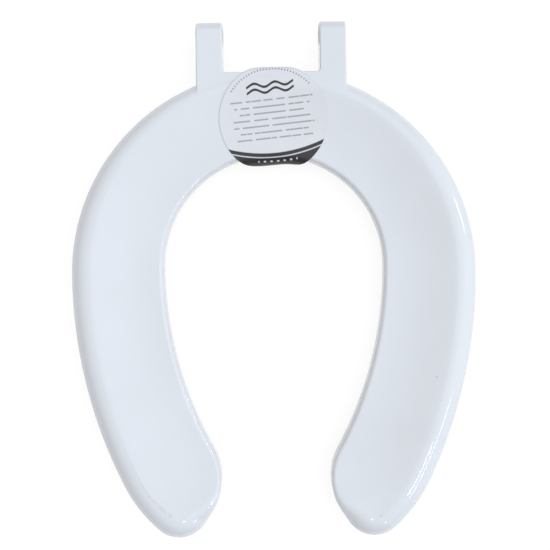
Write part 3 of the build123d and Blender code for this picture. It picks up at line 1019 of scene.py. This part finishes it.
def hinge_bush(seat, name, side, outward):
    """Flanged bush in one face of an arm. The flange's face looks outward along X."""
    arms = seat.arms
    bore_r = bore["dims"]["r_mm"] * MM
    bush_r = bore_r + arms.bush_wall
    face = arms.flange_proud
    edge = arms.flange_proud
    foot = face - arms.flange_depth
    end = -(arms.width - arms.bush_gap) / 2
    lead, lead_depth, inner_lead = 0.5 * MM, 0.6 * MM, 0.3 * MM
    line_depth, line_in, line_slope = 0.12 * MM, 0.4 * MM, 0.2 * MM
    rounded = [(0, 2 * edge), (0.3 * edge, edge), (edge, 0.3 * edge), (2 * edge, 0)]
    profile = [(bore_r, end + inner_lead), (bore_r + inner_lead, end)]
    profile += [(bush_r - lead, end), (bush_r, end + lead_depth), (bush_r, foot), (arms.flange_r, foot)]
    profile += [(arms.flange_r - aside, face - down) for aside, down in rounded]
    profile += [(bush_r + line_in + line_slope, face), (bush_r + line_in, face - line_depth)]
    profile += [(bush_r, face - line_depth), (bush_r - line_slope, face)]
    profile += [(bore_r + aside, face - down) for aside, down in reversed(rounded)]
    x = seat.arm_gap + (arms.width if outward == side else 0)
    centre = Vector((side * x, *bore["pos_m"][1:]))
    made = lathe(name, profile, centre, Vector((outward, 0, 0)))
    shade(made, crease)
    return made


def rubber_foot(seat, name, centre, along):
    """Rubber buffer: a round-ended bar with a grooved sole and a counterbore for its screw."""
    feet = seat.feet
    top = buffer_top
    edge = feet.edge_r
    rows = [(0, top), (0, (top + edge) / 2)]
    turns = [math.pi / 2 * part for part in shares(9)]
    rows += [(edge * (1 - math.cos(a)), edge * (1 - math.sin(a))) for a in turns]
    groove_end = feet.groove_in + feet.groove_width
    rows += [(feet.groove_in, 0), (feet.groove_in + feet.groove_slope, feet.groove),
             (groove_end - feet.groove_slope, feet.groove), (groove_end, 0)]
    half = (feet.length - feet.width) / 2
    loops = [stadium(centre, along, half, feet.width / 2 - inward, z) for inward, z in rows]
    counter_r = feet.head_r + feet.head_gap
    hole_r = feet.screw_r + feet.shank_gap
    head_z = feet.head_recess + feet.head_depth
    soft = feet.counter_edge
    rows = [(counter_r + soft, 0), (counter_r, soft), (counter_r, head_z), (hole_r, head_z), (hole_r, top)]
    loops += [stadium(centre, along, 0, radius, z) for radius, z in rows]
    made = loft(name, loops, joined=True)
    shade(made, crease)
    return made


def thread_radius(feet, rise, turns_round):
    """Radius of the screw this far past its head, at a share of a turn round it."""
    half_tooth = 0.22
    plain_turns = 0.6
    phase = (rise / feet.pitch - turns_round) % 1
    tooth = max(0, 1 - abs(phase - 0.5) / half_tooth)
    threaded = clamped(rise / feet.pitch - plain_turns)
    radius = feet.screw_r + feet.thread_depth * threaded * (tooth - 1)
    point = clamped((feet.screw_length - rise) / feet.point_length)
    return radius * (feet.point_share + (1 - feet.point_share) * point)


def one_screw(feet):
    """Pan head screw with its head down, a cross recess and a thread."""
    steps, thread_rows = 24, 100
    low = feet.head_recess
    head_top = low + feet.head_depth
    edge = feet.head_edge
    broken = feet.head_break
    turns = [math.pi / 2 * part for part in shares(6)]
    head = [(0, low)]
    head += [(feet.head_r - edge * (1 - math.sin(a)), low + edge * (1 - math.cos(a))) for a in turns]
    head += [(feet.head_r, head_top - broken), (feet.head_r - broken, head_top), (feet.screw_r, head_top)]
    loops = []
    for part in shares(steps)[:-1]:
        turn = 2 * math.pi * part
        rises = [feet.screw_length * share_up for share_up in shares(thread_rows, 1)]
        line = head + [(thread_radius(feet, rise, part), head_top + rise) for rise in rises]
        line.append((0, head_top + feet.screw_length))
        loops.append([Vector((r * math.cos(turn), r * math.sin(turn), z)) for r, z in line])
    made = loft("screw", loops, joined=True)
    carve(made, cross_tool(feet), "DIFFERENCE")
    return made


def cross_tool(feet):
    """Tapered cross that cuts the recess into a screw's head."""
    half = feet.cross_length / 2
    thin = feet.cross_width / 2
    arm = [(half, -thin), (half, thin), (thin, thin)]
    cross = arm + [(-y, x) for x, y in arm] + [(-x, -y) for x, y in arm] + [(y, -x) for x, y in arm]
    deep = [(feet.cross_taper * x, feet.cross_taper * y) for x, y in cross]
    return loft("cross", [plan_loop(cross, 0), plan_loop(deep, feet.head_recess + feet.cross_depth)])


class Finish(Nodes):
    """Nodes of one material or of the room's light."""

    def __init__(self, name, shelf=None):
        self.material = (bpy.data.materials if shelf is None else shelf).new(name)
        self.material.use_nodes = True
        super().__init__(self.material.node_tree)
        self.tree.nodes.clear()

    def place(self):
        return self.node("ShaderNodeTexCoord", output="Object")

    def axes(self, place):
        return self.outputs("ShaderNodeSeparateXYZ", {0: place})

    def ray(self, kind):
        """1 for rays of this kind, 0 for others."""
        return self.node("ShaderNodeLightPath", output=f"Is {kind} Ray")

    def noise(self, place, size, detail=2):
        """Noise with blobs of about this size in metres."""
        return self.node("ShaderNodeTexNoise", {"Vector": place, "Scale": 1 / size, "Detail": detail})

    def stretched(self, place, turn, scale):
        """Place turned about the upright axis and scaled along each axis."""
        return self.node("ShaderNodeMapping", {
            "Vector": place, "Rotation": (0, 0, turn), "Scale": scale}, vector_type="POINT")

    def specks(self, place, size, radius):
        """1 on small round specks, one to a cell of this size, 0 elsewhere."""
        off = self.node("ShaderNodeTexVoronoi", {"Vector": place, "Scale": 1 / size}, "Distance")
        return off.near(0.4 * radius / size, radius / size)

    def cells(self, place, size):
        """Random value from 0 to 1, one to a cell of this size."""
        tint = self.node("ShaderNodeTexVoronoi", {"Vector": place, "Scale": 1 / size}, "Color")
        return self.axes(tint)[0]

    def mix(self, part, one, two):
        """Colour between two colours."""
        return self.node("ShaderNodeMix", {0: part, 6: one, 7: two}, 2, data_type="RGBA")

    def shades(self, part, rgb, low, high):
        """Colour between a darker and a lighter shade of one colour."""
        return self.mix(part, solid(rgb, low), solid(rgb, high))

    def off_line(self, x, y, start, end):
        """Distance in plan from the line between two points in millimetres."""
        x0, y0, x1, y1 = (part * MM for part in (*start, *end))
        long = math.hypot(x1 - x0, y1 - y0)
        way_x, way_y = (x1 - x0) / long, (y1 - y0) / long
        along = ((x - x0) * way_x + (y - y0) * way_y).most(0).least(long)
        return (x - x0 - along * way_x).length_with(y - y0 - along * way_y)

    def bump(self, height, depth, normal=None):
        """Normal for a height from 0 to 1 that stands for this depth in metres."""
        values = {"Height": height, "Distance": depth, "Strength": 1.0}
        if normal:
            values["Normal"] = normal
        return self.node("ShaderNodeBump", values)

    def output(self, tint, rough, normal, index=1.45, metallic=0.0):
        """Ends the tree in the one shader of a piece."""
        shader = self.node("ShaderNodeBsdfPrincipled", {
            "Base Color": tint, "Roughness": rough, "Normal": normal, "IOR": index, "Metallic": metallic})
        self.node("ShaderNodeOutputMaterial", {"Surface": shader})
        return self.material


def solid(rgb, gain=1.0):
    return (rgb[0] * gain, rgb[1] * gain, rgb[2] * gain, 1)


# Thin dark lines and specks on the moulding: start and end in plan in millimetres, width in metres,
# strength
crest_marks = (
    ((-128, -158), (-118, -178.5), 0.0007, 0.10),
    ((-118, -178.5), (-111.4, -188.5), 0.0008, 0.20),
    ((-111.4, -188.5), (-101.5, -198.5), 0.0009, 0.24),
    ((-101.5, -198.5), (-93, -206), 0.0018, 0.26),
    ((90.8, -207.8), (91.8, -208.2), 0.0012, 0.5),
    ((141.4, -87.2), (141.8, -87.2), 0.0010, 0.4),
    ((65.5, 180.5), (67.5, 179.5), 0.0009, 0.4),
)


def moulding_finish(colours):
    """Glossy white thermoset: faint clouding, a fine moulded ripple, dust specks, wear on the crests, and
    thin dark lines and specks drawn near them.
    """
    f = Finish("seat_gloss")
    place = f.place()
    x, y, z = f.axes(place)
    speck_cell, speck_r = 0.021, 0.00042
    crest_z, skirt_z = ring_high.z, ring_low.z
    tint = f.shades(f.noise(place, 0.070, 3).rises(0.3, 0.7), colours.plastic, 0.985, 1.012)
    dust = f.specks(place, speck_cell, speck_r) * f.cells(place, speck_cell).rises(0.82, 0.84)
    wipes = f.noise(f.stretched(place, 0.9, (1, 9, 1)), 0.030, 4)
    on_crest = z.rises(crest_z - 0.7 * MM, crest_z - 0.1 * MM)
    on_slope = z.rises(crest_z - 4.5 * MM, crest_z - 4 * MM)
    at_foot = 1 - z.rises(skirt_z + 1.5 * MM, skirt_z + 3.5 * MM)
    scuffs = wipes.rises(0.66, 0.74) * f.noise(place, 0.045).rises(0.55, 0.7) * on_crest
    patchy = f.noise(place, 0.0035, 3).rises(0.2, 0.6) * on_slope
    marks = dust * 0.7 + scuffs * 0.12
    # Darker thin lines and specks at the listed places, broken into patches near the crest.
    for start, end, width, depth in crest_marks:
        marks = marks + f.off_line(x, y, start, end).near(width * 0.2, width * 1.3) * patchy * depth
    tint = f.mix(marks.least(1), tint, solid(colours.scuff))
    rough = wipes.rises(0.4, 0.8) * 0.05 + 0.06 + dust * 0.2 + scuffs * 0.22 + at_foot * 0.05
    ripple = f.bump(f.noise(place, 0.020, 1), 0.00002)
    grain = f.bump(f.noise(place, 0.0012), 0.000003, ripple)
    return f.output(tint, rough, grain, 1.54)


def dark_print(x, y):
    """Crescent at the foot of the label, with a pale line and a row of pale dots in it."""
    bow, soft = 0.20, 0.008
    edge_down, line_down, dots_down = 0.62, 0.70, 0.79
    dot_step, dots_end = 0.12, 0.36
    bowed = y - x * x * bow
    crescent = 1 - (bowed + edge_down).rises(-soft, soft)
    pale_line = (bowed + line_down).near(soft, 2 * soft) * crescent
    dot_x = (x + dot_step / 2).beat(dot_step) - 0.5
    dot_y = (bowed + dots_down) / dot_step
    dots = dot_x.length_with(dot_y).near(0.16, 0.24) * x.near(dots_end, dots_end + 0.001)
    return crescent * (1 - pale_line * 0.85) * (1 - dots * 0.9)


def plain_rules(f, x, y):
    """Rows of broken rules that stand for small print, no two of one length."""
    end, soft, row_step = 0.40, 0.005, 0.115
    shortest, spare = 0.60, 0.16
    row = (y + end) / row_step
    number = row.floor()
    chance = f.node("ShaderNodeTexWhiteNoise", {"W": number}, "Value", noise_dimensions="1D")
    reach = chance * spare + shortest
    along = f.node("ShaderNodeCombineXYZ", {"X": x, "Y": number})
    gaps = f.node("ShaderNodeTexNoise", {
        "Vector": along, "Scale": 9.0, "Detail": 0.0}, noise_dimensions="2D")
    rules = (row.beat(1) - 0.5).near(0.085, 0.15) * (1 - (abs(x) - reach).rises(0, 2 * soft))
    return rules * y.rises(-end, soft - end) * (1 - y.rises(end, end + soft)) * gaps.rises(0.36, 0.40)


def paper_finish(colours):
    """Satin paper with a generic print, whose sizes are shares of the label's radius, and a painted shade
    along its edge.
    """
    f = Finish("label_print")
    fibres = f.place()
    u, v = f.axes(f.node("ShaderNodeUVMap", uv_map="print"))[:2]
    x = u * 2 - 1
    y = v * 2 - 1
    radius = x.length_with(y)
    turn = x.angle_with(y)
    tick_ring, tick_step, ticks_end = 0.905, 0.062, 0.93
    wave_up, wave_apart, waves_end = 0.565, 0.052, 0.43
    ticks = (radius - tick_ring).near(0.012, 0.020) * (turn.beat(tick_step) - 0.5).near(0.17, 0.25)
    ticks = ticks * turn.near(ticks_end, ticks_end + 0.005)
    swell = (x * 16.5).sine() * 0.036
    waves = (abs(y - wave_up - swell) - wave_apart).near(0.016, 0.028)
    waves = waves * x.near(waves_end, waves_end + 0.008)
    # cut is a painted shade along the label's edge, darkest on its left and rear sides, laid in the fine
    # ink colour.
    cut = radius.rises(0.976, 0.994) * (0.20 - x * 0.14 + y * 0.05)
    ink = dark_print(x, y)
    tint = f.shades(f.noise(fibres, 0.012, 4).rises(0.3, 0.7), colours.paper, 0.99, 1.012)
    tint = f.mix((plain_rules(f, x, y) * 0.62 + ticks * 0.72 + cut).least(1), tint, solid(colours.fine_ink_and_edge_shade))
    tint = f.mix((ink + waves).least(1), tint, solid(colours.ink))
    rough = f.noise(fibres, 0.004, 3) * 0.16 + 0.42 - ink * 0.08
    ruffle = f.bump(f.noise(fibres, 0.014), 0.00008)
    return f.output(tint, rough, f.bump(f.noise(fibres, 0.0007, 3), 0.000006, ruffle))


def nylon_finish(colours):
    """Natural nylon with fine turning marks and a waxy sheen."""
    f = Finish("bush_nylon")
    place = f.place()
    y, z = f.axes(place)[1:]
    marks_per_metre = 9000
    clouds = f.noise(place, 0.006, 3)
    tint = f.shades(clouds.rises(0.3, 0.7), colours.nylon, 0.95, 1.03)
    off_axis = (y - bore["pos_m"][1]).length_with(z - bore["pos_m"][2])
    turning = (off_axis * marks_per_metre).sine() * 0.5 + 0.5
    rough = clouds * 0.14 + 0.36 + turning * 0.04
    return f.output(tint, rough, f.bump(turning, 0.000008), 1.53)


def rubber_finish(colours):
    """Matt pale rubber, a little dusty and worn dark where it stands."""
    f = Finish("buffer_rubber")
    place = f.place()
    clouds = f.noise(place, 0.005, 4)
    tint = f.shades(clouds.rises(0.3, 0.7), colours.rubber, 0.93, 1.04)
    on_sole = 1 - f.axes(place)[2].rises(0.1 * MM, 0.6 * MM)
    patchy = on_sole * f.noise(place, 0.003, 3).rises(0.35, 0.65)
    tint = f.mix(patchy * 0.35, tint, solid(colours.rubber, 0.6))
    rough = clouds * 0.16 + 0.62 - patchy * 0.1
    return f.output(tint, rough, f.bump(f.noise(place, 0.0006, 3), 0.00002), 1.52)


def steel_finish(colours):
    """Plain stainless steel, drawn along the shank and scratched by a driver."""
    f = Finish("screw_steel")
    place = f.place()
    streaks = f.noise(f.stretched(place, 0, (1, 1, 0.1)), 0.0006, 3)
    scratches = f.noise(place, 0.0004, 4).rises(0.55, 0.7)
    rough = streaks * 0.14 + 0.24 + scratches * 0.1
    tint = f.shades(streaks, colours.steel, 0.9, 1.05)
    return f.output(tint, rough, f.bump(scratches, 0.00001), metallic=1.0)


def floor_finish(stage):
    """Pale floor that the camera sees as white, with the seat's soft shadow."""
    f = Finish("floor_pale")
    paint = f.node("ShaderNodeBsdfDiffuse", {"Color": solid(stage.floor_colour)})
    glow = f.node("ShaderNodeEmission", {"Color": solid(white), "Strength": stage.floor_glow})
    seen = f.ray("Camera").most(f.ray("Glossy")).most(f.ray("Transmission"))
    shader = f.node("ShaderNodeMixShader", {0: seen * stage.floor_share, 1: paint, 2: glow})
    f.node("ShaderNodeOutputMaterial", {"Surface": shader})
    return f.material


def room_light(stage):
    """Soft lobes of light from above, the right, the left and behind. The camera sees plain white."""
    f = Finish("room", bpy.data.worlds)
    way = f.node("ShaderNodeTexCoord", output="Generated")
    lobes = [
        (stage.sky_light, stage.sky_tint, 0, math.pi / 2, stage.sky_edge),
        (stage.side_light, white, stage.side_turn, stage.side_rise, stage.side_edge),
        (stage.fill_light, white, 0, stage.fill_rise, stage.fill_edge),
        (stage.warm_light, stage.warm_tint, math.pi, stage.warm_rise, stage.fill_edge),
        (stage.back_light, white, -math.pi / 2, stage.back_rise, stage.fill_edge)]
    sums = [stage.room_light] * 3
    for power, tint, side, rise, edge in lobes:
        middle = polar(side, rise, 1)
        near = f.node("ShaderNodeVectorMath", {0: way, 1: middle}, "Value", operation="DOT_PRODUCT")
        near = near.rises(edge, 1)
        sums = [near * (power * part) + total for total, part in zip(sums, tint)]
    mixed = f.node("ShaderNodeCombineXYZ", dict(zip("XYZ", sums)))
    light = f.node("ShaderNodeBackground", {"Color": mixed})
    plain = f.node("ShaderNodeBackground", {"Color": solid(white), "Strength": stage.floor_glow})
    seen = f.node("ShaderNodeMixShader", {0: f.ray("Camera"), 1: light, 2: plain})
    f.node("ShaderNodeOutputWorld", {"Surface": seen})
    return f.material


class SeatMouldingOperator(bpy.types.Operator):
    """Build the ring with its deck and hinge arms"""

    bl_idname = "seat.moulding"
    bl_label = "Moulding"

    def execute(self, context):
        scene = context.scene
        material = moulding_finish(scene.seat_colours)
        finish(seat_moulding(Seat(scene), material), material, "seat_white", "seat_ring")
        return {"FINISHED"}


class SeatLabelOperator(bpy.types.Operator):
    """Lay the round paper label on the deck"""

    bl_idname = "seat.label"
    bl_label = "Label"

    def execute(self, context):
        scene = context.scene
        finish(round_sticker(Seat(scene)), paper_finish(scene.seat_colours), "label_paper", "round_label")
        return {"FINISHED"}


class SeatBushesOperator(bpy.types.Operator):
    """Press two flanged bushes into each hinge arm"""

    bl_idname = "seat.bushes"
    bl_label = "Bushes"

    def execute(self, context):
        scene = context.scene
        seat = Seat(scene)
        material = nylon_finish(scene.seat_colours)
        for side, name in ((-1, "left"), (1, "right")):
            for outward, face in ((side, "outer"), (-side, "inner")):
                bush = hinge_bush(seat, f"{name}_{face}_hinge_bush", side, outward)
                finish(bush, material, "bush_nylon", f"{name}_{face}_bush")
        return {"FINISHED"}


class SeatBuffersOperator(bpy.types.Operator):
    """Set a rubber buffer on each pad"""

    bl_idname = "seat.buffers"
    bl_label = "Buffers"

    def execute(self, context):
        scene = context.scene
        seat = Seat(scene)
        material = rubber_finish(scene.seat_colours)
        for name, centre, along in buffer_spots(seat):
            foot = rubber_foot(seat, f"{name}_rubber_foot", centre, along)
            finish(foot, material, "buffer_rubber", f"{name}_buffer")
        return {"FINISHED"}


class SeatScrewsOperator(bpy.types.Operator):
    """Put a screw through each buffer"""

    bl_idname = "seat.screws"
    bl_label = "Screws"

    def execute(self, context):
        scene = context.scene
        seat = Seat(scene)
        material = steel_finish(scene.seat_colours)
        screw = one_screw(seat.feet)
        spots = bpy.data.meshes.new("screw_set")
        spots.from_pydata([(centre.x, centre.y, 0) for _, centre, _ in buffer_spots(seat)], [], [])
        screws = linked("screw_set", spots)
        repeat(screws, spots_tree(material), {"Screw": screw, "Turn": seat.feet.screw_turn})
        bpy.data.objects.remove(screw)
        shade(screws, crease)
        finish(screws, material, "screw_steel", "buffer_screws")
        return {"FINISHED"}


# Lamps that only show as highlights: degrees forwards from the right, degrees above the floor,
# width and height in degrees, colour, and power in watts
highlight_lamps = (
    ("right_strip", -16, 28, (10, 2), white, 4),
    ("right_low_strip", -1, 33, (8, 1.5), (0.95, 0.97, 1), 0.5),
    ("front_strip", 43, 50, (9, 2), white, 4),
    ("front_low_strip", 36, 37, (20, 3), (0.7, 0.9, 1), 4.5),
    ("front_spot", 62, 39, (3, 3), white, 1.2),
    ("front_high_spot", 87, 63, (3, 3), white, 0.8),
)


def strip_lamp(scene, name, side, rise, spread, tint, power):
    """Thin level lamp that looks at the seat and shows only as a highlight."""
    reach = scene.seat_stage.lamp_reach
    lamp = bpy.data.lights.new(name, "AREA")
    lamp.shape = "RECTANGLE"
    lamp.size, lamp.size_y = [2 * reach * math.tan(math.radians(part) / 2) for part in spread]
    lamp.energy = power
    lamp.color = tint
    made = linked(name, lamp)
    made.location = polar(math.radians(side), math.radians(rise), reach)
    made.rotation_euler = (-made.location).to_track_quat("-Z", "Y").to_euler()
    made.visible_diffuse = False


def polar(side, rise, reach):
    """Point at a distance, turned forwards from the right and raised above the floor."""
    level = reach * math.cos(rise)
    return (level * math.cos(side), -level * math.sin(side), reach * math.sin(rise))


class SeatStageOperator(bpy.types.Operator):
    """Set the camera, the floor and the studio light"""

    bl_idname = "seat.stage"
    bl_label = "Stage"

    def execute(self, context):
        scene = context.scene
        stage = scene.seat_stage
        lens = bpy.data.cameras.new("view")
        lens.sensor_width = 36
        lens.lens = stage.lens
        camera = linked("view", lens)
        centre_y = Seat(scene).centre_y
        camera.location = (stage.camera_aside, centre_y - stage.camera_ahead, stage.camera_height)
        camera.rotation_euler = (0, 0, stage.camera_turn)
        scene.camera = camera
        half = stage.floor_size / 2
        mesh = bpy.data.meshes.new("floor")
        corners = [(-half, -half, 0), (half, -half, 0), (half, half, 0), (-half, half, 0)]
        mesh.from_pydata(corners, [], [(0, 1, 2, 3)])
        floor = linked("floor", mesh)
        mesh.materials.append(floor_finish(stage))
        scene.world = room_light(stage)
        for lamp in highlight_lamps:
            strip_lamp(scene, *lamp)
        scene.view_settings.view_transform = "Standard"
        return {"FINISHED"}


class SeatPanel(bpy.types.Panel):
    """Sizes, colours and making of the seat"""

    bl_idname = "VIEW3D_PT_seat"
    bl_label = "Toilet seat"
    bl_space_type = "VIEW_3D"
    bl_region_type = "UI"
    bl_category = "Seat"

    def draw(self, context):
        layout = self.layout
        for operator in OPERATORS:
            layout.operator(operator.bl_idname)
        for name, group in GROUPS:
            box = layout.box()
            box.label(text=group.__doc__)
            for setting in group.__annotations__:
                box.prop(getattr(context.scene, name), setting)


OPERATORS = (
    SeatStageOperator, SeatMouldingOperator, SeatLabelOperator, SeatBushesOperator,
    SeatBuffersOperator, SeatScrewsOperator)
GROUPS = (
    ("seat_plan", SeatPlan), ("seat_section", SeatSection), ("seat_arms", SeatArms),
    ("seat_ribs", SeatRibs), ("seat_label", LabelSizes), ("seat_feet", FootSizes),
    ("seat_colours", SeatColours), ("seat_stage", StageSettings))


def register():
    for name, group in GROUPS:
        bpy.utils.register_class(group)
        setattr(bpy.types.Scene, name, PointerProperty(type=group))
    for operator in OPERATORS:
        bpy.utils.register_class(operator)
    bpy.utils.register_class(SeatPanel)


def unregister():
    bpy.utils.unregister_class(SeatPanel)
    for operator in reversed(OPERATORS):
        bpy.utils.unregister_class(operator)
    for name, group in reversed(GROUPS):
        delattr(bpy.types.Scene, name)
        bpy.utils.unregister_class(group)


def main():
    register()
    bpy.ops.seat.stage()
    bpy.ops.seat.moulding()
    bpy.ops.seat.label()
    bpy.ops.seat.bushes()
    bpy.ops.seat.buffers()
    bpy.ops.seat.screws()


if __name__ == "__main__":
    main()
